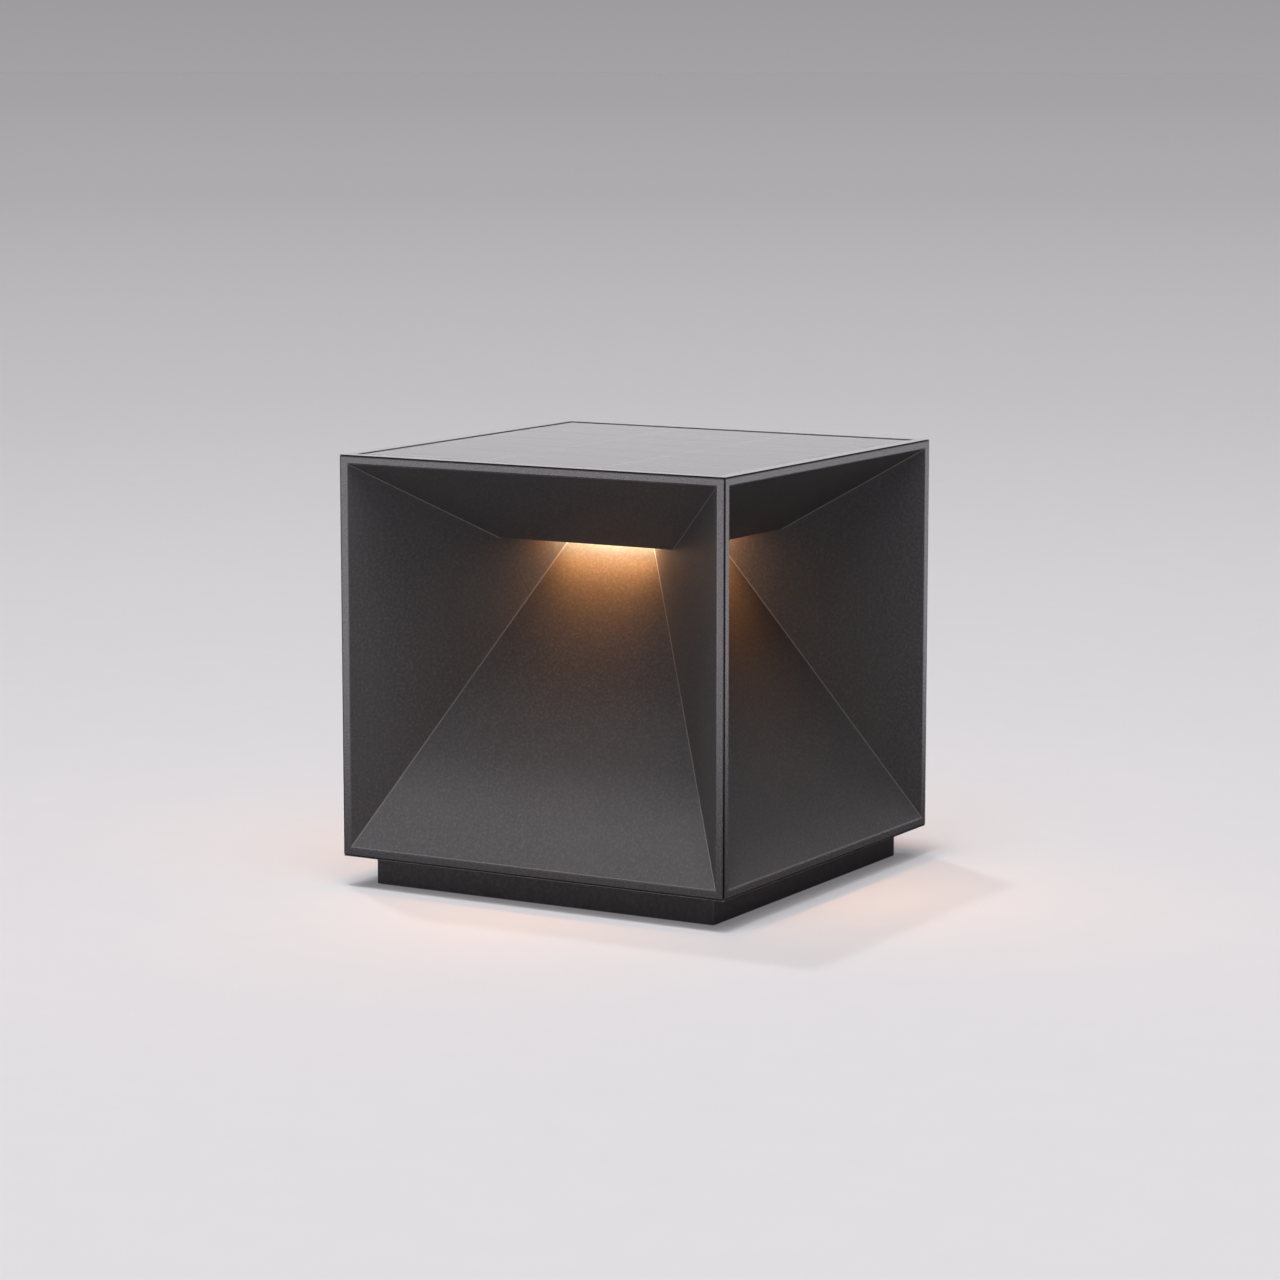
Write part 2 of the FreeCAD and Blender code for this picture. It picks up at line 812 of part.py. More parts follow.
def plinth_frame():
    """Hollow plinth with an inward flange, cover bosses and the cut-outs in its back wall."""
    body = new_body("plinth_frame")
    skirt = new_sketch(body, "plinth_skirt", offset="foot_proud")
    draw_rectangle(skirt, (f"-{PLINTH_HALF}", PLINTH_HALF), (f"-{PLINTH_HALF}", PLINTH_HALF))
    pad(body, skirt, "plinth_height - foot_proud")
    rebate = new_sketch(body, "plinth_rebate", offset="foot_proud")
    draw_rectangle(rebate, (f"-{SKIRT_INSIDE}", SKIRT_INSIDE), (f"-{SKIRT_INSIDE}", SKIRT_INSIDE))
    pocket(body, rebate, f"{GASKET_TOP} - foot_proud")
    inside = new_sketch(body, "plinth_inside", offset="foot_proud")
    side = (f"-{PLINTH_INSIDE}", PLINTH_INSIDE)
    draw_rectangle(inside, side, side)
    pocket(body, inside, f"{FLANGE_LOW} - foot_proud")
    opening = new_sketch(body, "plinth_opening", offset=FLANGE_LOW)
    side = ("-flange_opening", "flange_opening")
    draw_rectangle(opening, side, side)
    pocket(body, opening, "flange_thickness")
    boss = new_sketch(body, "cover_boss", offset=GASKET_TOP)
    side = ("(cover_screw_reach - cover_boss_half)", f"({PLINTH_INSIDE} + plinth_wall / 4)")
    draw_rectangle(boss, side, side)
    four_ways(body, pad(body, boss, f"{FLANGE_LOW} - {GASKET_TOP} + flange_thickness / 2"))
    pilot = new_sketch(body, "cover_pilot", offset=GASKET_TOP)
    draw_circle(pilot, "cover_screw_reach", "cover_screw_reach", "pilot_radius")
    four_ways(body, pocket(body, pilot, "pilot_depth / 2"))
    through = new_sketch(body, "plinth_fixing", offset=FLANGE_LOW)
    draw_circle(through, "plinth_screw_reach", "0", "screw_clearance")
    four_ways(body, pocket(body, through, "flange_thickness"))

    cut_outs = new_sketch(body, "control_holes", role="XZ_Plane", offset=f"-{PLINTH_HALF}")
    draw_circle(cut_outs, "-button_x", "control_height", "(bezel_radius + slip_fit)")
    draw_rectangle(
        cut_outs,
        ("(port_x - port_window_half)", "(port_x + port_window_half)"),
        ("(control_height - port_window_rise)", "(control_height + port_window_rise)"),
    )
    pocket(body, cut_outs, "plinth_wall + overrun")
    seat = new_sketch(body, "flap_seat", role="XZ_Plane", offset=f"-{PLINTH_HALF}")
    draw_rectangle(
        seat,
        ("(port_x - flap_half - joint_gap)", f"({HINGE_X} + hinge_radius + joint_gap)"),
        (
            "(control_height - flap_rise - joint_gap)",
            "(control_height + flap_rise + joint_gap)",
        ),
    )
    pocket(body, seat, "flap_recess")
    body.Tip = body.Group[-1]
    sub_part(body, "plinth_frame")


def hinge_lugs():
    """Two lugs that hold the flap's pin, let into the flap seat."""
    lugs = []
    y = (f"({PLINTH_HALF} - flap_recess)", HINGE_Y)
    for name, low, high in (
        ("low", "(control_height - flap_rise)", "(control_height - flap_rise + hinge_lug)"),
        ("top", "(control_height + flap_rise - hinge_lug)", "(control_height + flap_rise)"),
    ):
        web = block(
            f"lug_web_{name}",
            (f"({HINGE_X} - hinge_radius)", f"({HINGE_X} + hinge_radius)"),
            y,
            (low, high),
        )
        eye = rod(f"lug_eye_{name}", HINGE_X, HINGE_Y, (low, high), "hinge_radius")
        whole = fuse(f"lug_{name}", [web, eye])
        bore = rod(f"lug_bore_{name}", HINGE_X, HINGE_Y, (low, high), "hinge_pin_radius")
        lugs.append(cut(f"lug_bored_{name}", whole, [bore]))
    sub_part(group("hinge_lugs", lugs), "hinge_lugs")


def base_cover():
    body = new_body("base_cover")
    plate = new_sketch(body, "cover_outline", offset=COVER_LOW)
    draw_rectangle(plate, (f"-{COVER_HALF}", COVER_HALF), (f"-{COVER_HALF}", COVER_HALF))
    pad(body, plate, "cover_thickness")
    hole = new_sketch(body, "cover_hole", offset=COVER_LOW)
    draw_circle(hole, "cover_screw_reach", "cover_screw_reach", "screw_head_radius + joint_gap")
    four_ways(body, pocket(body, hole, "cover_thickness"))
    standoffs = new_sketch(body, "standoffs", offset=COVER_TOP)
    for x, y in circuit_screw_places():
        draw_circle(standoffs, x, y, "standoff_radius")
        draw_circle(standoffs, x, y, "pilot_radius")
    for x, y in (
        ("circuit_screw_x", "circuit_screw_back"),
        ("-circuit_screw_x", "circuit_screw_front"),
    ):
        draw_rectangle(
            standoffs,
            (f"({x} - standoff_radius)", f"({x} + standoff_radius)"),
            (f"({y} - standoff_radius)", f"({y} + standoff_radius)"),
        )
    pad(body, standoffs, f"circuit_height - {COVER_TOP}")
    body.Tip = body.Group[-1]
    sub_part(body, "base_cover")


def base_gasket():
    ring = square_ring(
        "base_gasket", COVER_HALF, f"({COVER_HALF} - gasket_width)", (COVER_TOP, GASKET_TOP)
    )
    sub_part(ring, "base_gasket")


def foot_pads():
    pads = []
    for number, (a, b) in enumerate(signed_pairs()):
        place = (f"{a}foot_reach", f"{b}foot_reach")
        pads.append(rod(f"foot_{number}", *place, ("0", COVER_LOW), "foot_radius"))
    sub_part(group("foot_pads", pads), "foot_pads")


# ---------------------------------------------------------------- electronics


def battery():
    axis_z = f"({COVER_TOP} + holder_wall + cell_radius + joint_gap)"
    half_length = "(cell_body / 2)"
    cells = []
    channels = []
    for sign in ("", "-"):
        tag = "back" if sign else "front"
        y = f"{sign}cell_spacing / 2"
        can = doc.addObject("Part::Cylinder", f"can_{tag}")
        terminal = doc.addObject("Part::Cylinder", f"terminal_{tag}")
        channel = doc.addObject("Part::Cylinder", f"channel_{tag}")
        shapes = (
            (can, "cell_radius", f"-{half_length}", "cell_body"),
            (terminal, "cell_radius / 3", half_length, "cell_terminal"),
            (
                channel,
                "cell_radius + joint_gap",
                f"-({half_length} + cell_terminal)",
                "cell_body + 2 * cell_terminal",
            ),
        )
        for item, radius, start, length in shapes:
            item.Placement.Rotation = FreeCAD.Rotation(FreeCAD.Vector(0, 1, 0), 90)
            bind(item, "Radius", radius)
            bind(item, "Height", length)
            bind(item, "Placement.Base.x", start)
            bind(item, "Placement.Base.y", y)
            bind(item, "Placement.Base.z", axis_z)
        cells.append(fuse(f"cell_{tag}", [can, terminal]))
        channels.append(channel)
    sub_part(group("battery_cells", cells), "battery_cells")

    reach_x = f"({half_length} + cell_terminal + holder_end)"
    reach_y = "(cell_spacing / 2 + cell_radius + joint_gap + holder_wall)"
    tray = block(
        "holder_block",
        (f"-{reach_x}", reach_x),
        (f"-{reach_y}", reach_y),
        (COVER_TOP, f"{COVER_TOP} + holder_height"),
    )
    sub_part(cut("battery_holder", tray, channels), "battery_holder")


def circuit():
    body = new_body("control_board")
    outline = new_sketch(body, "circuit_outline", offset="circuit_height")
    draw_rectangle(outline, ("-circuit_half", "circuit_half"), ("circuit_front", "circuit_back"))
    for x, y in circuit_screw_places():
        draw_circle(outline, x, y, "screw_clearance")
    pad(body, outline, "board_thickness")
    header = new_sketch(body, "loom_header", offset=CIRCUIT_TOP)
    draw_rectangle(
        header,
        ("-plug_half", "plug_half"),
        ("(circuit_front + joint_gap)", "(loom_start + plug_half + socket_run)"),
    )
    pad(body, header, "socket_height")
    body.Tip = body.Group[-1]
    sub_part(body, "control_board")

    switch_back = f"({STEM_END} - button_travel - joint_gap)"
    case_back = f"({switch_back} - switch_plunger_length)"
    case = block(
        "switch_case",
        ("(-button_x - switch_width / 2)", "(-button_x + switch_width / 2)"),
        (f"({case_back} - switch_depth)", case_back),
        (CIRCUIT_TOP, "(control_height + switch_width / 2)"),
    )
    plunger = level_rod(
        "switch_plunger",
        "-button_x",
        (case_back, switch_back),
        "control_height",
        "button_radius / 2",
    )
    sub_part(fuse("tact_switch", [case, plunger]), "tact_switch")


def charge_port():
    """Stadium-shaped socket shell with its contact tongue."""
    body = new_body("charge_port")
    face = f"({PLINTH_INSIDE} - joint_gap)"
    outside = new_sketch(body, "port_outside", role="XZ_Plane", offset=f"-{face}")
    draw_rectangle(
        outside,
        ("(port_x - port_width / 2)", "(port_x + port_width / 2)"),
        ("(control_height - port_height / 2)", "(control_height + port_height / 2)"),
    )
    shell = pad(body, outside, "port_depth")
    doc.recompute()
    round_off = body.newObject("PartDesign::Fillet", "port_rounding")
    along = [
        f"Edge{number}"
        for number, edge in enumerate(shell.Shape.Edges, start=1)
        if abs(edge.Vertexes[0].Point.y - edge.Vertexes[-1].Point.y) > TOUCHING
    ]
    round_off.Base = (shell, along)
    bind(round_off, "Radius", "port_corner")
    mouth = new_sketch(body, "port_mouth", role="XZ_Plane", offset=f"-{face}")
    draw_rectangle(
        mouth,
        (
            "(port_x - port_width / 2 + port_side_wall)",
            "(port_x + port_width / 2 - port_side_wall)",
        ),
        (
            "(control_height - port_height / 2 + port_wall)",
            "(control_height + port_height / 2 - port_wall)",
        ),
    )
    draw_rectangle(
        mouth,
        ("(port_x - port_width / 3)", "(port_x + port_width / 3)"),
        ("(control_height - port_wall)", "(control_height + port_wall)"),
    )
    pocket(body, mouth, "port_depth - port_back_wall")
    body.Tip = body.Group[-1]
    sub_part(body, "charge_port")


def wiring():
    """Loom from the control board up through the neck to the light tray, with its two plugs."""
    plug_low = f"({CIRCUIT_TOP} + socket_height)"
    body = new_body("wiring")
    path = new_sketch(body, "loom_path", role="YZ_Plane")
    points = [
        ("loom_start", f"({plug_low} + plug_height)"),
        ("loom_start", "loom_bend"),
        ("0", "loom_straight"),
        ("0", "tray_height + tray_thickness"),
    ]
    for number in range(len(points) - 1):
        start = FreeCAD.Vector(number, number * number, 0)
        end = FreeCAD.Vector(number + 1, (number + 1) ** 2, 0)
        path.addGeometry(Part.LineSegment(start, end), False)
    for number in range(len(points) - 2):
        path.addConstraint(Sketcher.Constraint("Coincident", number, 2, number + 1, 1))
    for number, (y, z) in enumerate(points[:-1]):
        hold(path, "DistanceX", number, 1, y)
        hold(path, "DistanceY", number, 1, z)
    hold(path, "DistanceX", len(points) - 2, 2, points[-1][0])
    hold(path, "DistanceY", len(points) - 2, 2, points[-1][1])
    section = new_sketch(body, "loom_section", offset=points[0][1])
    draw_circle(section, "0", "loom_start", "loom_radius")
    doc.recompute()
    loom = body.newObject("PartDesign::AdditivePipe", "loom")
    loom.Profile = section
    loom.Spine = (path, [""])
    loom.Transition = "Round corner"
    top_plug = new_sketch(body, "top_plug", offset="tray_height + tray_thickness")
    draw_rectangle(top_plug, ("-plug_half", "plug_half"), ("-plug_half", "plug_half"))
    pad(body, top_plug, "plug_height")
    low_plug = new_sketch(body, "low_plug", offset=plug_low)
    draw_rectangle(
        low_plug,
        ("-plug_half", "plug_half"),
        ("(loom_start - plug_half)", "(loom_start + plug_half + socket_run)"),
    )
    pad(body, low_plug, "plug_height + overrun")
    body.Tip = body.Group[-1]
    sub_part(body, "wiring")


# ---------------------------------------------------------------- moving pieces


def power_button():
    """Turned button: cap, retaining flange behind the bezel and the stem over the switch."""
    face = f"({PLINTH_HALF} + button_proud)"
    flange_end = f"({FLANGE_FACE} - button_flange_thickness)"
    points = [
        ("0", STEM_END),
        ("(button_radius / 2)", STEM_END),
        ("(button_radius / 2)", flange_end),
        ("button_flange", flange_end),
        ("button_flange", FLANGE_FACE),
        ("button_radius", FLANGE_FACE),
        ("button_radius", f"({face} - edge_bevel)"),
        ("(button_radius - edge_bevel)", face),
        ("0", face),
    ]
    revolve_body("power_button", points, "-button_x", "control_height")


def button_bezel():
    bore = "(button_radius + joint_gap)"
    face = f"({PLINTH_HALF} + bezel_proud)"
    points = [
        (bore, BEZEL_END),
        ("bezel_radius", BEZEL_END),
        ("bezel_radius", PLINTH_HALF),
        ("bezel_rim", PLINTH_HALF),
        ("bezel_rim", f"({face} - edge_bevel)"),
        ("(bezel_rim - edge_bevel)", face),
        (bore, face),
    ]
    revolve_body("button_bezel", points, "-button_x", "control_height")


def port_flap():
    """Cover of the charging port: plate with a shallow plug and a knuckle on its hinge side."""
    plate_low = f"({PLINTH_HALF} - flap_recess + joint_gap)"
    plate = block(
        "flap_plate",
        ("(port_x - flap_half)", HINGE_X),
        (plate_low, f"({plate_low} + flap_thickness)"),
        ("(control_height - flap_rise)", "(control_height + flap_rise)"),
    )
    knuckle_z = (
        "(control_height - flap_rise + hinge_lug + joint_gap)",
        "(control_height + flap_rise - hinge_lug - joint_gap)",
    )
    relief = block(
        "flap_relief",
        ("(port_x + flap_half - joint_gap)", f"({HINGE_X} + hinge_radius)"),
        (f"({plate_low} - overrun)", f"({plate_low} + flap_thickness + overrun)"),
        ("(control_height - flap_rise - overrun)", "(control_height + flap_rise + overrun)"),
    )
    web = block(
        "flap_web",
        ("(port_x + flap_half - joint_gap)", HINGE_X),
        (plate_low, f"({plate_low} + flap_thickness)"),
        knuckle_z,
    )
    plug = block(
        "flap_plug",
        ("(port_x - flap_plug_half)", "(port_x + flap_plug_half)"),
        (f"({plate_low} - flap_plug_depth)", plate_low),
        ("(control_height - flap_plug_rise)", "(control_height + flap_plug_rise)"),
    )
    knuckle = rod("flap_knuckle", HINGE_X, HINGE_Y, knuckle_z, "hinge_radius")
    trimmed = cut("flap_trimmed", plate, [relief])
    whole = fuse("flap_whole", [trimmed, web, plug, knuckle])
    bore = rod("flap_bore", HINGE_X, HINGE_Y, knuckle_z, "(hinge_pin_radius + pin_play)")
    sub_part(cut("port_flap", whole, [bore]), "port_flap")
    pin = rod(
        "flap_pin",
        HINGE_X,
        HINGE_Y,
        ("(control_height - flap_rise)", "(control_height + flap_rise)"),
        "hinge_pin_radius",
    )
    sub_part(pin, "flap_pin")


# ---------------------------------------------------------------- build and export

side_panels()
top_frame()
bottom_frame()
fasteners()
top_panel()
tray_plate()
led_ring()
diffuser()
neck_sleeve()
plinth_frame()
hinge_lugs()
base_cover()
base_gasket()
foot_pads()
battery()
circuit()
charge_port()
wiring()
power_button()
button_bezel()
port_flap()
doc.recompute()

for item in doc.Objects:
    if "Invalid" in item.State or "Error" in item.State:
        raise RuntimeError(f"{item.Name} did not compute: {item.State}")

os.makedirs("parts", exist_ok=True)
for item in sub_parts:
    if item.Shape.isNull() or not item.Shape.isValid():
        raise RuntimeError(f"{item.Label} has no valid shape")
    item.Shape.exportStep(f"parts/{item.Label}.step")
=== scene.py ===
import bmesh
import bpy
import math
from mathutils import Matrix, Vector


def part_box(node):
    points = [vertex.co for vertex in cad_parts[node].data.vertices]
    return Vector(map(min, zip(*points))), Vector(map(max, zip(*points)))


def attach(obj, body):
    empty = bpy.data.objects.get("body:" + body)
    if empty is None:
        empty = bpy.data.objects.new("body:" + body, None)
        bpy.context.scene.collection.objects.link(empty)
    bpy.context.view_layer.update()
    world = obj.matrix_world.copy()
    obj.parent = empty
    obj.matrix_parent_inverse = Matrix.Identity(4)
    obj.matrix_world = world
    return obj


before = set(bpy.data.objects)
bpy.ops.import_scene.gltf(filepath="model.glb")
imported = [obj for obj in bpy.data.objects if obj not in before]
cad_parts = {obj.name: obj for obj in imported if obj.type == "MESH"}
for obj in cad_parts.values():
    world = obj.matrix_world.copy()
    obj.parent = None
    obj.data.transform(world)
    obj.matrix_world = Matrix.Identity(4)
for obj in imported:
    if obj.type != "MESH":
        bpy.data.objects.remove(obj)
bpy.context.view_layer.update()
MM = 0.001

# ---------------------------------------------------------------- sizes of the CAD model, metres
HALF, _, RING_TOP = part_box("top_frame")[1]
CASTING_LOW, CASTING_TOP = (corner_shade.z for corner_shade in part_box("side_panel_front"))
RIM = 4 * MM
RECESS_LOW = 18.4 * MM
FACET_RISE = 1.9
HOOD_TOP = 196 * MM
HOOD_RUN = 0.72
HOOD_LOW = 160 * MM
FRAME_OPENING = 94.4 * MM

# ---------------------------------------------------------------- camera, fitted to the photograph
CAMERA_AT = Vector((901.95 * MM, -1555.61 * MM, 375.17 * MM))
CAMERA_YAW = 30.110
CAMERA_PITCH = 8.407
FOCAL_PIXELS = 3895.5
FRAME_PIXELS = 1280
SENSOR = 36.0
CLIP_NEAR = 0.05
CLIP_FAR = 400


def make_camera():
    """Level-rolled camera without shift, at the viewpoint of the photograph."""
    data = bpy.data.cameras.new("camera")
    data.sensor_width = SENSOR
    data.lens = FOCAL_PIXELS / FRAME_PIXELS * SENSOR
    data.clip_start = CLIP_NEAR
    data.clip_end = CLIP_FAR
    item = bpy.data.objects.new("camera", data)
    bpy.context.collection.objects.link(item)
    item.location = CAMERA_AT
    item.rotation_euler = (math.radians(90 - CAMERA_PITCH), 0, math.radians(CAMERA_YAW))
    bpy.context.scene.camera = item


# ---------------------------------------------------------------- node helpers
BEVEL_SAMPLES = 4


class Shader:
    """A node tree under construction, with short calls for the nodes this script uses."""

    def __init__(self, name, world=False):
        self.owner = bpy.data.worlds.new(name) if world else bpy.data.materials.new(name)
        self.owner.use_nodes = True
        self.tree = self.owner.node_tree
        self.tree.nodes.clear()

    def node(self, kind, **values):
        made = self.tree.nodes.new("ShaderNode" + kind)
        for key, value in values.items():
            setattr(made, key, value)
        return made

    def feed(self, socket, value):
        if isinstance(value, bpy.types.NodeSocket):
            self.tree.links.new(value, socket)
        else:
            socket.default_value = value

    def math(self, operation, first, second=0.0, third=0.0):
        made = self.node("Math", operation=operation)
        for socket, value in zip(made.inputs, (first, second, third)):
            self.feed(socket, value)
        return made.outputs[0]

    def ramp(self, value, low, high, out_low=0.0, out_high=1.0, smooth=False):
        """Clamped change from out_low to out_high while value goes from low to high."""
        made = self.node("MapRange")
        made.interpolation_type = "SMOOTHSTEP" if smooth else "LINEAR"
        for name, given in (
            ("Value", value),
            ("From Min", low),
            ("From Max", high),
            ("To Min", out_low),
            ("To Max", out_high),
        ):
            self.feed(made.inputs[name], given)
        return made.outputs["Result"]

    def blend(self, factor, first, second):
        """Colour between first and second."""
        made = self.node("Mix", data_type="RGBA", blend_type="MIX")
        self.feed(made.inputs[0], factor)
        self.feed(made.inputs[6], first)
        self.feed(made.inputs[7], second)
        return made.outputs[2]

    def place(self):
        return self.node("TexCoord").outputs["Object"]

    def axes(self, vector=None):
        made = self.node("SeparateXYZ")
        self.feed(made.inputs[0], vector or self.place())
        return made.outputs

    def reaches(self):
        """Smaller and larger distance from the cube's two upright middle planes, and the height."""
        x, y, z = self.axes()[:3]
        x, y = self.math("ABSOLUTE", x), self.math("ABSOLUTE", y)
        return self.math("MINIMUM", x, y), self.math("MAXIMUM", x, y), z

    def noise(self, scale, detail=2.0, rough=0.5, stretch=None):
        vector = self.place()
        if stretch:
            made = self.node("VectorMath", operation="MULTIPLY")
            self.feed(made.inputs[0], vector)
            self.feed(made.inputs[1], stretch)
            vector = made.outputs[0]
        made = self.node("TexNoise")
        self.feed(made.inputs["Vector"], vector)
        made.inputs["Scale"].default_value = scale
        made.inputs["Detail"].default_value = detail
        made.inputs["Roughness"].default_value = rough
        return made.outputs[0]

    def bump(self, height, distance, strength=1.0):
        made = self.node("Bump")
        made.inputs["Strength"].default_value = strength
        made.inputs["Distance"].default_value = distance
        self.feed(made.inputs["Height"], height)
        return made.outputs[0]

    def edge(self, radius, low, high):
        """1 on sharp edges, from the angle between the true and the rounded normal."""
        rounded = self.node("Bevel", samples=BEVEL_SAMPLES)
        rounded.inputs["Radius"].default_value = radius
        true = self.node("NewGeometry").outputs["Normal"]
        made = self.node("VectorMath", operation="DOT_PRODUCT")
        self.feed(made.inputs[0], rounded.outputs[0])
        self.feed(made.inputs[1], true)
        return self.ramp(made.outputs["Value"], high, low)

    def principled(self, **values):
        """Principled shader as the output; an underscore in a name stands for a space."""
        made = self.node("BsdfPrincipled")
        for key, value in values.items():
            self.feed(made.inputs[key.replace("_", " ")], value)
        out = self.node("OutputMaterial")
        self.tree.links.new(made.outputs[0], out.inputs["Surface"])
        return made


def grey(level, tint=(1.0, 1.0, 1.0)):
    return (level * tint[0], level * tint[1], level * tint[2], 1.0)


# ---------------------------------------------------------------- finishes
COAT_TINT = (1.03, 0.985, 1.03)
BLACK = (0, 0, 0, 1)
EDGE_RANGE = (0.90, 0.995)
COAT_EDGE = 0.45 * MM
PLASTIC_EDGE = 0.3 * MM

# painted highlight lines on the castings, where the facets meet the fins and along the sills
SEAM_WIDTH = 0.45 * MM
SEAM_CORE = 0.3
SEAM_HIGHLIGHT = 0.6
SILL_RISE = 0.25 * MM
SILL_REACH = 0.8 * MM
SILL_HIGHLIGHT = 1.4

# (start, end) of each fade, as distances from the face or joint that it belongs to
RIM_FADE = (0.30 * MM, 0.15 * MM)
MITRE_FADE = (1.0 * MM, 0.6 * MM)
JOINT_FADE = (0.55 * MM, 0.35 * MM)
FOOT_FADE = (0.5 * MM, 0.2 * MM)

RIM_SHEEN_GREY = 0.38
SEAM_HIGHLIGHT_GREY = 0.48
RING_SHEEN_GREY = 0.62
WEAR_AND_HIGHLIGHT_GREY = 0.68


def seam_highlight_mask(shader, width):
    """1 along the lines where the facets meet the fins, and along the sill of each recess: these lines
    are painted paler as a highlight.
    """
    near, far, z = shader.reaches()
    depth = shader.math("SUBTRACT", HALF, far)
    fin = shader.math("SUBTRACT", shader.math("SUBTRACT", far, near), RIM)
    facet = shader.math("SUBTRACT", z, shader.math("MULTIPLY_ADD", depth, FACET_RISE, RECESS_LOW))
    facet = shader.math("ABSOLUTE", shader.math("DIVIDE", facet, math.hypot(1, FACET_RISE)))
    hood = shader.math("ADD", z, shader.math("MULTIPLY_ADD", depth, HOOD_RUN, -HOOD_TOP))
    hood = shader.math("ABSOLUTE", shader.math("DIVIDE", hood, math.hypot(1, HOOD_RUN)))
    fin = shader.math("ABSOLUTE", fin)
    core = SEAM_CORE * width
    low = shader.ramp(shader.math("MAXIMUM", fin, facet), width, core, smooth=True)
    high = shader.ramp(shader.math("MAXIMUM", fin, hood), width, core, smooth=True)
    high = shader.math("MULTIPLY", high, shader.math("GREATER_THAN", z, HOOD_LOW))
    sill = shader.math("ABSOLUTE", shader.math("SUBTRACT", z, RECESS_LOW + SILL_RISE))
    sill = shader.math("MAXIMUM", sill, shader.math("SUBTRACT", depth, SILL_REACH))
    sill = shader.ramp(sill, width, core, 0.0, SILL_HIGHLIGHT, smooth=True)
    sill = shader.math("MULTIPLY", sill, shader.math("LESS_THAN", near, HALF - RIM))
    return shader.math("MAXIMUM", shader.math("MAXIMUM", low, high), sill)


def sheen_and_shade_masks(shader):
    """Two masks: the flat outer faces of the castings, painted lighter as a sheen, and the strips
    beside mitres and joints, painted darker as shade.
    """
    near, far, z = shader.reaches()
    face = shader.ramp(far, HALF - RIM_FADE[0], HALF - RIM_FADE[1])
    mitre = shader.ramp(near, HALF - MITRE_FADE[0], HALF - MITRE_FADE[1])
    joint = shader.ramp(z, CASTING_TOP - JOINT_FADE[0], CASTING_TOP - JOINT_FADE[1])
    foot = shader.ramp(z, CASTING_LOW + FOOT_FADE[0], CASTING_LOW + FOOT_FADE[1])
    corner_shade = shader.math("MAXIMUM", mitre, shader.math("MAXIMUM", joint, foot))
    return face, corner_shade


def powder_coat(name, level, casting=False, top_sheen=False, rough=0.5, metallic=0.2, wear_and_highlight_share=0.75):
    """Fine-textured satin powder coat: grain, faint clouding, pale flecks, and pale shiny edges that
    are both edge wear and a painted highlight.
    """
    shader = Shader(name)

    def tone(share):
        return grey(level * share, COAT_TINT)

    grain = shader.noise(1500, 3.0, 0.65)
    cloud = shader.noise(14, 3.0, 0.55)
    fleck = shader.ramp(shader.noise(2600, 1.0, 0.5), 0.68, 0.80)
    base = shader.blend(grain, tone(0.75), tone(1.25))
    texture = shader.noise(760, 2.0, 0.6)
    base = shader.blend(shader.ramp(texture, 0.60, 0.36, 0.0, 0.27), base, tone(0.5))
    base = shader.blend(shader.ramp(texture, 0.50, 0.70, 0.0, 0.24), base, tone(1.9))
    base = shader.blend(shader.ramp(cloud, 0.35, 0.65, 0.0, 0.35), base, tone(1.12))
    base = shader.blend(shader.math("MULTIPLY", fleck, 0.45), base, tone(3.0))
    roughness = shader.ramp(grain, 0.3, 0.7, rough - 0.06, rough + 0.08)
    shine = metallic
    if casting:
        rim, corner_shade = sheen_and_shade_masks(shader)
        # painted highlight: paler lines along the valleys and sills stand in for the light they catch
        seam_highlight = shader.math("MULTIPLY", seam_highlight_mask(shader, SEAM_WIDTH), SEAM_HIGHLIGHT)
        # painted sheen: the outer faces get a lighter colour for the light they catch, on a smoother,
        # more metallic coat
        base = shader.blend(shader.math("MULTIPLY", rim, 0.85), base, grey(RIM_SHEEN_GREY, COAT_TINT))
        base = shader.blend(seam_highlight, base, grey(SEAM_HIGHLIGHT_GREY, COAT_TINT))
        roughness = shader.math("SUBTRACT", roughness, shader.math("MULTIPLY", rim, 0.22))
        shine = shader.ramp(rim, 0.0, 1.0, metallic, 0.85)
    if top_sheen:
        # painted sheen: the ring's top face gets a lighter colour for its bright reflection, on a
        # smoother, more metallic coat
        top = shader.ramp(shader.axes()[2], RING_TOP - RIM_FADE[0], RING_TOP - RIM_FADE[1])
        base = shader.blend(shader.math("MULTIPLY", top, 0.9), base, grey(RING_SHEEN_GREY, COAT_TINT))
        roughness = shader.math("SUBTRACT", roughness, shader.math("MULTIPLY", top, 0.12))
        shine = shader.ramp(top, 0.0, 1.0, metallic, 0.95)
    # pale, shinier sharp edges: edge wear and a painted highlight along the edges
    wear_and_highlight = shader.edge(COAT_EDGE, *EDGE_RANGE)
    if casting:
        # painted shade: the strips beside mitres, the top joint and the foot are darkened and get no
        # pale edge
        wear_and_highlight = shader.math("MULTIPLY", wear_and_highlight, shader.math("SUBTRACT", 1.0, corner_shade))
        base = shader.blend(shader.math("MULTIPLY", corner_shade, 0.8), base, tone(0.5))
    base = shader.blend(shader.math("MULTIPLY", wear_and_highlight, wear_and_highlight_share), base, grey(WEAR_AND_HIGHLIGHT_GREY, COAT_TINT))
    shine = shader.math("MAXIMUM", shine, shader.math("MULTIPLY", wear_and_highlight, wear_and_highlight_share))
    roughness = shader.math("SUBTRACT", roughness, shader.math("MULTIPLY", wear_and_highlight, 0.10))
    height = shader.math("ADD", grain, shader.math("MULTIPLY", texture, 1.6))
    shader.principled(
        Base_Color=base,
        Metallic=shine,
        Roughness=roughness,
        Specular_IOR_Level=0.35,
        Normal=shader.bump(height, 0.06 * MM, 0.6),
    )
    return shader.owner


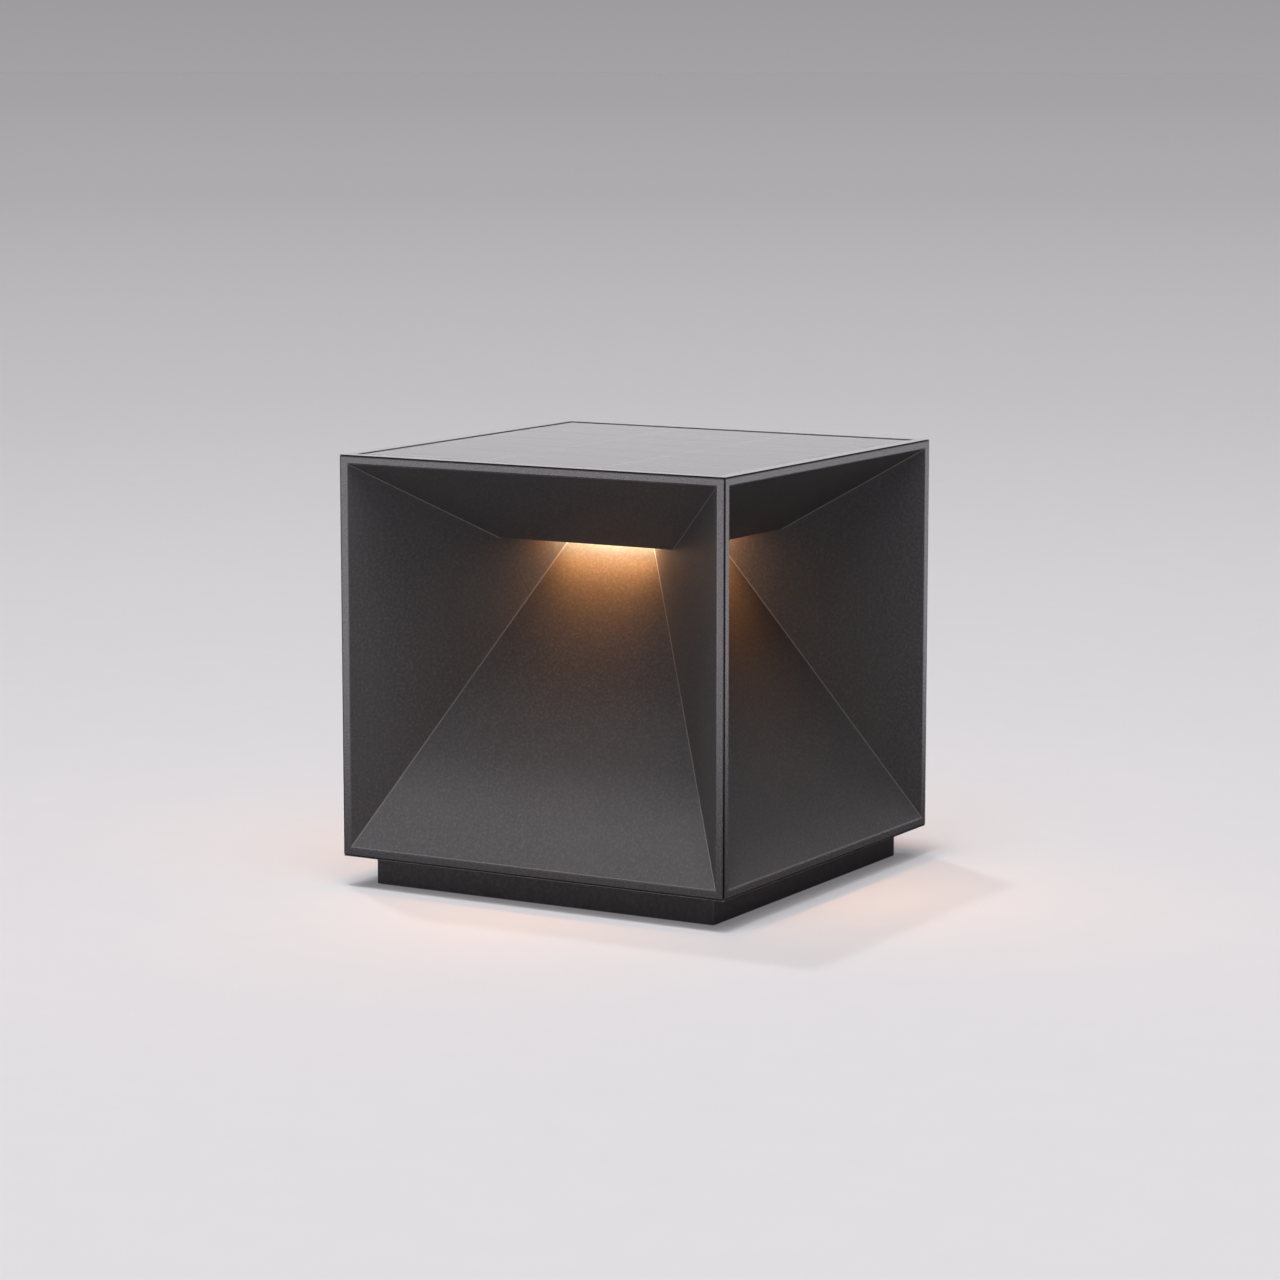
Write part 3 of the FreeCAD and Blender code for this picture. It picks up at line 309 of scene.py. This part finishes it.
def moulded(name, level, rough=0.55, grain=900):
    """Moulded plastic or rubber: fine speck, faint clouding and paler edges."""
    shader = Shader(name)
    speck = shader.noise(grain, 3.0, 0.6)
    cloud = shader.noise(30, 2.0, 0.5)
    base = shader.blend(speck, grey(level * 0.85), grey(level * 1.18))
    base = shader.blend(shader.ramp(cloud, 0.4, 0.7, 0.0, 0.25), base, grey(level * 1.25))
    wear_and_highlight = shader.edge(PLASTIC_EDGE, *EDGE_RANGE)
    base = shader.blend(shader.math("MULTIPLY", wear_and_highlight, 0.3), base, grey(level * 2.0 + 0.02))
    shader.principled(
        Base_Color=base,
        Roughness=shader.ramp(speck, 0.3, 0.7, rough - 0.07, rough + 0.07),
        Normal=shader.bump(speck, 0.04 * MM, 0.4),
    )
    return shader.owner


def metal(name, colour, rough=0.3, brushed=(1.0, 1.0, 1.0), scale=700, relief=0.02 * MM):
    """Bare metal with streaks, drawn out along an axis where brushed is small."""
    shader = Shader(name)
    streak = shader.noise(scale, 4.0, 0.6, stretch=brushed)
    dark = tuple(c * 0.82 for c in colour) + (1.0,)
    light = tuple(min(1, c * 1.1) for c in colour) + (1.0,)
    shader.principled(
        Base_Color=shader.blend(streak, dark, light),
        Metallic=1.0,
        Roughness=shader.ramp(streak, 0.3, 0.7, rough - 0.08, rough + 0.1),
        Normal=shader.bump(streak, relief, 0.35),
    )
    return shader.owner


PANE_DUST = 7 * MM
FINGER_HALF_PITCH = 0.9 * MM
BUSBAR_HALF_PITCH = 7.5 * MM


def solar_pane():
    """Clear satin pane: low-iron glass with a faint texture and dust along its rim."""
    shader = Shader("pane_glass")
    far = shader.reaches()[1]
    rim = shader.ramp(far, FRAME_OPENING - PANE_DUST, FRAME_OPENING, smooth=True)
    film = shader.noise(60, 5.0, 0.6)
    speck = shader.noise(1200, 2.0, 0.5)
    dust = shader.math("MULTIPLY", rim, shader.ramp(film, 0.35, 0.75, 0.02, 0.22))
    roughness = shader.math("ADD", shader.ramp(film, 0.3, 0.7, 0.06, 0.12), dust)
    shader.principled(
        Base_Color=shader.blend(dust, (0.93, 0.96, 0.95, 1.0), (0.75, 0.74, 0.72, 1.0)),
        Roughness=roughness,
        IOR=1.52,
        Transmission_Weight=1.0,
        Normal=shader.bump(speck, 0.01 * MM, 0.15),
    )
    return shader.owner


def solar_cell():
    """Dark silicon with its fine fingers and wider busbars."""
    shader = Shader("silicon_cells")
    x, y, _ = shader.axes()[:3]
    finger = shader.math("PINGPONG", x, FINGER_HALF_PITCH)
    finger = shader.ramp(finger, 0.10 * MM, 0.16 * MM, 1.0, 0.0)
    bar = shader.math("PINGPONG", shader.math("ADD", y, BUSBAR_HALF_PITCH), BUSBAR_HALF_PITCH)
    bar = shader.ramp(bar, 0.45 * MM, 0.6 * MM, 1.0, 0.0)
    lines = shader.math("MAXIMUM", shader.math("MULTIPLY", finger, 0.45), bar)
    tone = shader.blend(shader.noise(220, 3.0, 0.5), (0.006, 0.008, 0.016, 1), (0.012, 0.016, 0.034, 1))
    shader.principled(
        Base_Color=shader.blend(lines, tone, (0.42, 0.42, 0.43, 1.0)),
        Metallic=shader.math("MULTIPLY", lines, 0.8),
        Roughness=shader.ramp(lines, 0.0, 1.0, 0.28, 0.4),
        Normal=shader.bump(lines, 0.02 * MM, 0.5),
    )
    return shader.owner


HOT_SPOT_AT = 31 * MM
HOT_SPOT_WIDTH = 16 * MM
OPAL_STRENGTH = 3.0
CHIP_STRENGTH = 2.0


def opal():
    """Opal ring lit from behind: brightest in the middle of each side."""
    shader = Shader("opal_glow")
    near, far, _ = shader.reaches()
    off = shader.math("SUBTRACT", far, HOT_SPOT_AT)
    square = shader.math("MULTIPLY_ADD", near, near, shader.math("MULTIPLY", off, off))
    spot = shader.ramp(shader.math("SQRT", square), HOT_SPOT_WIDTH, 0.0, 0.06, 1.0, smooth=True)
    milk = shader.noise(400, 2.0, 0.5)
    shader.principled(
        Base_Color=shader.blend(milk, (0.80, 0.76, 0.68, 1), (0.88, 0.84, 0.77, 1)),
        Roughness=0.45,
        Emission_Color=shader.blend(spot, (1.0, 0.55, 0.26, 1.0), (1.0, 0.82, 0.60, 1.0)),
        Emission_Strength=shader.math("MULTIPLY", spot, OPAL_STRENGTH),
        Normal=shader.bump(milk, 0.03 * MM, 0.2),
    )
    return shader.owner


def led():
    """Yellow phosphor of the LED chips."""
    shader = Shader("led_phosphor")
    milk = shader.noise(1500, 2.0, 0.5)
    shader.principled(
        Base_Color=shader.blend(milk, (0.85, 0.62, 0.20, 1), (0.95, 0.74, 0.30, 1)),
        Roughness=0.35,
        Emission_Color=(1.0, 0.74, 0.46, 1.0),
        Emission_Strength=CHIP_STRENGTH,
    )
    return shader.owner


def circuit(name, colour):
    """Solder mask with the tracks showing faintly through it."""
    shader = Shader(name)
    trace = shader.noise(180, 0.0, 0.0)
    trace = shader.ramp(shader.math("PINGPONG", trace, 0.06), 0.01, 0.018, 1.0, 0.0)
    light = tuple(min(1.0, c * 1.6 + 0.02) for c in colour) + (1.0,)
    shader.principled(
        Base_Color=shader.blend(shader.math("MULTIPLY", trace, 0.6), colour + (1.0,), light),
        Roughness=shader.ramp(shader.noise(90, 2.0, 0.5), 0.3, 0.7, 0.25, 0.4),
        Normal=shader.bump(trace, 0.03 * MM, 0.3),
    )
    return shader.owner


def cell_wrap():
    """Blue sleeve of the battery cells."""
    shader = Shader("cell_wrap")
    speck = shader.noise(300, 3.0, 0.5)
    shader.principled(
        Base_Color=shader.blend(speck, (0.05, 0.16, 0.24, 1), (0.07, 0.22, 0.32, 1)),
        Roughness=shader.ramp(speck, 0.3, 0.7, 0.28, 0.4),
        Normal=shader.bump(speck, 0.03 * MM, 0.2),
    )
    return shader.owner


# ---------------------------------------------------------------- finish of each CAD node
coat = powder_coat("casting_coat", 0.165, casting=True)
ring_coat = powder_coat("ring_coat", 0.07, top_sheen=True, rough=0.35, metallic=0.5)
frame_coat = powder_coat("frame_coat", 0.12, rough=0.55, metallic=0.1, wear_and_highlight_share=0.2)
plinth_coat = powder_coat("plinth_coat", 0.23, rough=0.5, metallic=0.0)
soft_black = moulded("soft_black", 0.012, rough=0.75)
black_plastic = moulded("black_plastic", 0.018, rough=0.5)
cover_plastic = moulded("cover_plastic", 0.026, rough=0.6, grain=500)
foot_rubber = moulded("foot_rubber", 0.014, rough=0.8)
plated = metal("plated_steel", (0.60, 0.60, 0.61), rough=0.32)
turned = metal("turned_bezel", (0.52, 0.52, 0.53), rough=0.3, scale=260, relief=0.004 * MM)
milled = metal("milled_aluminium", (0.74, 0.75, 0.76), rough=0.3, brushed=(0.05, 1.0, 1.0))
green_board = circuit("green_board", (0.012, 0.075, 0.032))
black_board = circuit("black_board", (0.012, 0.013, 0.014))
white_board = circuit("white_board", (0.72, 0.72, 0.70))

FINISHES = {
    "side_panel_front": coat,
    "side_panel_right": coat,
    "side_panel_back": coat,
    "side_panel_left": coat,
    "top_frame": ring_coat,
    "bottom_frame": frame_coat,
    "plinth_frame": plinth_coat,
    "hinge_lugs": plinth_coat,
    "tray_plate": milled,
    "solar_glass": solar_pane(),
    "solar_cells": solar_cell(),
    "panel_backing": black_board,
    "control_board": green_board,
    "led_board": white_board,
    "led_chips": led(),
    "diffuser": opal(),
    "battery_cells": cell_wrap(),
    "panel_seal": soft_black,
    "frame_gasket": soft_black,
    "base_gasket": soft_black,
    "port_flap": soft_black,
    "wiring": black_plastic,
    "neck_sleeve": black_plastic,
    "battery_holder": black_plastic,
    "tact_switch": black_plastic,
    "power_button": black_plastic,
    "base_cover": cover_plastic,
    "foot_pads": foot_rubber,
    "charge_port": plated,
    "flap_pin": plated,
    "panel_screws": plated,
    "plinth_screws": plated,
    "cover_screws": plated,
    "circuit_screws": plated,
    "tray_screws": plated,
    "button_bezel": turned,
}


def finish_nodes():
    for node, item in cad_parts.items():
        item.data.materials.clear()
        item.data.materials.append(FINISHES[node])


# ---------------------------------------------------------------- seals in the mitres
SEAL_NOSE = 139.9 * MM
SEAL_DEPTH = 9 * MM
SEAL_HEIGHTS = (17.7 * MM, 196.6 * MM)
SEAL_HALF = 0.17 * MM
LIP_HALF = 0.25 * MM
LIP_PITCH = 1.5 * MM
LIP_START = 0.6
LIP_WIDTH = 0.4 * MM
LIP_HEEL = 0.3
NOSE_STEPS = 6


def seal_profile():
    """Outline of the strip as (distance from the cube's axis, offset from the mitre plane)."""
    side = []
    lips = int(SEAL_DEPTH / LIP_PITCH) - 1
    for lip in range(lips):
        at = SEAL_NOSE - SEAL_DEPTH + (lip + LIP_START) * LIP_PITCH
        side += [
            (at - LIP_WIDTH, SEAL_HALF),
            (at, LIP_HALF),
            (at + LIP_HEEL * LIP_WIDTH, SEAL_HALF),
        ]
    nose = []
    centre = SEAL_NOSE - LIP_HALF
    for step in range(NOSE_STEPS + 1):
        turn = math.pi / 2 - math.pi * step / NOSE_STEPS
        nose.append((centre + LIP_HALF * math.cos(turn), LIP_HALF * math.sin(turn)))
    tail = [(SEAL_NOSE - SEAL_DEPTH, -SEAL_HALF), (SEAL_NOSE - SEAL_DEPTH, SEAL_HALF)]
    other = [(reach, -offset) for reach, offset in reversed(side)]
    return side + nose + other + tail


def mitre_seals():
    """Rubber strip in each of the four mitres, with a round nose and sealing lips."""
    build = bmesh.new()
    profile = seal_profile()
    for number in range(4):
        out = math.radians(45 + 90 * number)
        along = Vector((math.cos(out), math.sin(out), 0))
        across = Vector((-math.sin(out), math.cos(out), 0))
        rings = []
        for height in SEAL_HEIGHTS:
            ring = [
                build.verts.new(along * reach + across * offset + Vector((0, 0, height)))
                for reach, offset in profile
            ]
            rings.append(ring)
        low, high = rings
        count = len(profile)
        for index in range(count):
            after = (index + 1) % count
            build.faces.new((low[index], low[after], high[after], high[index]))
        build.faces.new(low)
        build.faces.new(high)
    bmesh.ops.recalc_face_normals(build, faces=build.faces[:])
    mesh = bpy.data.meshes.new("mitre_seals")
    build.to_mesh(mesh)
    build.free()
    mesh.materials.append(soft_black)
    item = bpy.data.objects.new("mitre_seals", mesh)
    bpy.context.collection.objects.link(item)
    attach(item, "lamp")


# ---------------------------------------------------------------- floor, world and lamps
# FLOOR_BOUNCE and NEAR_GLOSS: share of the tone that diffuse and near glossy rays get.
# FLOOR_SEEN: share of the tone that is emitted for camera, glossy and transmission rays.
FLOOR_TINT = (1.011, 0.980, 1.011)
FLOOR_CENTRE = (0.25, -0.433, 0.0)
FLOOR_BOUNCE = (0.36, 0.12)
NEAR_GLOSS = 0.12
FLOOR_SEEN = 0.2
FLOOR_HALF = 150.0
FLOOR_CELLS = 8
NEAR_REACH = (0.2, 0.9)
BOUNCE_REACH = 0.3
# floor tone against log10 of the distance from FLOOR_CENTRE in metres, painted darker with distance as
# a falloff of the light
FLOOR_TONES = [
    (-0.35, 0.765),
    (-0.08, 0.730),
    (0.20, 0.662),
    (0.50, 0.549),
    (1.00, 0.429),
    (1.60, 0.379),
    (2.00, 0.374),
    (2.30, 0.365),
]


def make_floor():
    """Pale floor painted darker with distance from the object, a painted falloff of the studio light.
    """
    mesh = bpy.data.meshes.new("floor")
    build = bmesh.new()
    bmesh.ops.create_grid(build, x_segments=FLOOR_CELLS, y_segments=FLOOR_CELLS, size=FLOOR_HALF)
    build.to_mesh(mesh)
    build.free()
    item = bpy.data.objects.new("floor", mesh)
    bpy.context.collection.objects.link(item)
    shader = Shader("floor_sweep")
    shift = shader.node("VectorMath", operation="SUBTRACT")
    shader.feed(shift.inputs[0], shader.place())
    shader.feed(shift.inputs[1], FLOOR_CENTRE)
    length = shader.node("VectorMath", operation="LENGTH")
    shader.feed(length.inputs[0], shift.outputs[0])
    away = shader.math("LOGARITHM", length.outputs["Value"], 10.0)
    low, high = FLOOR_TONES[0][0], FLOOR_TONES[-1][0]
    curve = shader.node("ValToRGB")
    shader.feed(curve.inputs[0], shader.ramp(away, low, high))
    elements = curve.color_ramp.elements
    while len(elements) < len(FLOOR_TONES):
        elements.new(0.5)
    for element, (at, level) in zip(elements, FLOOR_TONES):
        element.position = (at - low) / (high - low)
        element.color = grey(level, FLOOR_TINT)
    grain = shader.noise(35, 4.0, 0.6)
    tone = shader.blend(shader.ramp(grain, 0.3, 0.7, 0.0, 0.012), curve.outputs[0], BLACK)
    path = shader.node("LightPath").outputs
    around = shader.node("VectorMath", operation="LENGTH")
    shader.feed(around.inputs[0], shader.place())
    near = shader.ramp(around.outputs["Value"], *NEAR_REACH, 1 - NEAR_GLOSS, 0.0, smooth=True)
    x, y, _ = shader.axes()[:3]
    across = shader.math("ADD", x, y)
    cuts = [1 - share for share in FLOOR_BOUNCE]
    dim = shader.ramp(across, -BOUNCE_REACH, BOUNCE_REACH, *cuts, smooth=True)
    dim = shader.math("MULTIPLY", path["Is Diffuse Ray"], dim)
    dim = shader.math("MAXIMUM", dim, shader.math("MULTIPLY", path["Is Glossy Ray"], near))
    tone = shader.blend(dim, tone, BLACK)
    seen = shader.math("MAXIMUM", path["Is Camera Ray"], path["Is Glossy Ray"])
    seen = shader.math("MAXIMUM", seen, path["Is Transmission Ray"])
    seen = shader.math("MULTIPLY", seen, FLOOR_SEEN)
    shader.principled(
        Base_Color=shader.blend(seen, tone, BLACK),
        Roughness=0.9,
        Specular_IOR_Level=0.0,
        Emission_Color=tone,
        Emission_Strength=seen,
    )
    mesh.materials.append(shader.owner)


# levels that camera rays see
HORIZON = 0.371
SWEEP_TOP = 0.338
SWEEP_BAND = (-0.003, 0.016)
# levels that all other rays see
DOME = 0.060
BACK_GLOW = 0.75
LEFT_GLOW = 0.06
GLOW_BAND = (0.2, 0.5)
BACK_SPREAD = (0.45, 0.95)
LEFT_SPREAD = (0.2, 0.9)


def make_world():
    """Dim room with a lit backdrop behind the object; camera rays see the plain grey sweep."""
    shader = Shader("studio", world=True)
    direction = shader.node("TexCoord").outputs["Generated"]
    x, y, z = shader.axes(direction)[:3]
    yaw = math.radians(CAMERA_YAW)
    ahead = shader.math("MULTIPLY", y, math.cos(yaw))
    behind = shader.math("MULTIPLY_ADD", x, -math.sin(yaw), ahead)
    aside = shader.math("MULTIPLY", y, -math.sin(yaw))
    left = shader.math("MULTIPLY_ADD", x, -math.cos(yaw), aside)
    low = shader.ramp(z, *GLOW_BAND, 1.0, 0.0, smooth=True)
    glow = shader.ramp(behind, *BACK_SPREAD, 0.0, BACK_GLOW, smooth=True)
    side = shader.ramp(left, *LEFT_SPREAD, 0.0, LEFT_GLOW, smooth=True)
    glow, side = shader.math("MULTIPLY", glow, low), shader.math("MULTIPLY", side, low)
    around = shader.math("ADD", shader.math("ADD", glow, side), DOME)
    level = shader.node("Mix", data_type="FLOAT")
    shader.feed(level.inputs[0], shader.node("LightPath").outputs["Is Camera Ray"])
    shader.feed(level.inputs[2], around)
    shader.feed(level.inputs[3], shader.ramp(z, *SWEEP_BAND, HORIZON, SWEEP_TOP))
    back = shader.node("Background")
    back.inputs["Color"].default_value = grey(1.0, FLOOR_TINT)
    shader.feed(back.inputs["Strength"], level.outputs[0])
    out = shader.node("OutputWorld")
    shader.tree.links.new(back.outputs[0], out.inputs["Surface"])
    bpy.context.scene.world = shader.owner


def sun(name, towards, spread, strength):
    """Distant lamp that fills a disc of the given width in degrees."""
    data = bpy.data.lights.new(name, "SUN")
    data.energy = strength
    data.angle = math.radians(spread)
    item = bpy.data.objects.new(name, data)
    bpy.context.collection.objects.link(item)
    item.rotation_mode = "QUATERNION"
    item.rotation_quaternion = Vector(towards).to_track_quat("Z", "Y")


STUDIO_LAMPS = (
    # name, direction, width in degrees, strength
    ("overhead", (0.0, -0.12, 1.0), 8, 1.142),
    ("softbox", (0.03, -0.25, 1.0), 28, 0.675),
    ("front_fill", (0.0, -0.80, 1.0), 25, 0.212),
    ("right_fill", (0.40, -0.20, 1.0), 24, 0.464),
    ("key", (-0.309, 0.196, 0.932), 3, 0.476),
)


def studio_lamps():
    """Soft lamps overhead and a small one from behind on the left, which draws the shadow."""
    for name, towards, spread, strength in STUDIO_LAMPS:
        sun(name, towards, spread, strength)


WARM_NEAR = (1.0, 0.75, 0.41)
WARM_WIDE = (1.0, 0.27, 0.04)
WARM_SPILL = (1.0, 0.37, 0.05)
LED_LAMPS = (
    # name, colour, reach and height in mm, size in mm, tilt outward and spread in degrees, power
    ("near", WARM_NEAR, (30.5, 160.8), (60, 5), 0, 180, 0.0132),
    ("wide", WARM_WIDE, (38, 160.8), (60, 12), 0, 180, 0.0076),
    ("spill", WARM_SPILL, (30, 160.4), (50, 3), 33, 80, 0.0205),
)


def led_lamps():
    """Warm light of the LED ring on each of the four sides."""
    for number in range(4):
        turn = math.radians(90 * number)
        for name, colour, (reach, height), size, tilt, spread, power in LED_LAMPS:
            data = bpy.data.lights.new(f"led_{name}_{number}", "AREA")
            data.shape = "RECTANGLE"
            data.size, data.size_y = size[0] * MM, size[1] * MM
            data.energy = power
            data.color = colour
            data.spread = math.radians(spread)
            item = bpy.data.objects.new(data.name, data)
            bpy.context.collection.objects.link(item)
            item.location = (math.sin(turn) * reach * MM, -math.cos(turn) * reach * MM, height * MM)
            item.rotation_euler = (math.radians(-tilt), 0, turn)
            item.visible_camera = False


finish_nodes()
mitre_seals()
make_floor()
make_world()
studio_lamps()
led_lamps()
make_camera()
bpy.context.scene.view_settings.view_transform = "Standard"
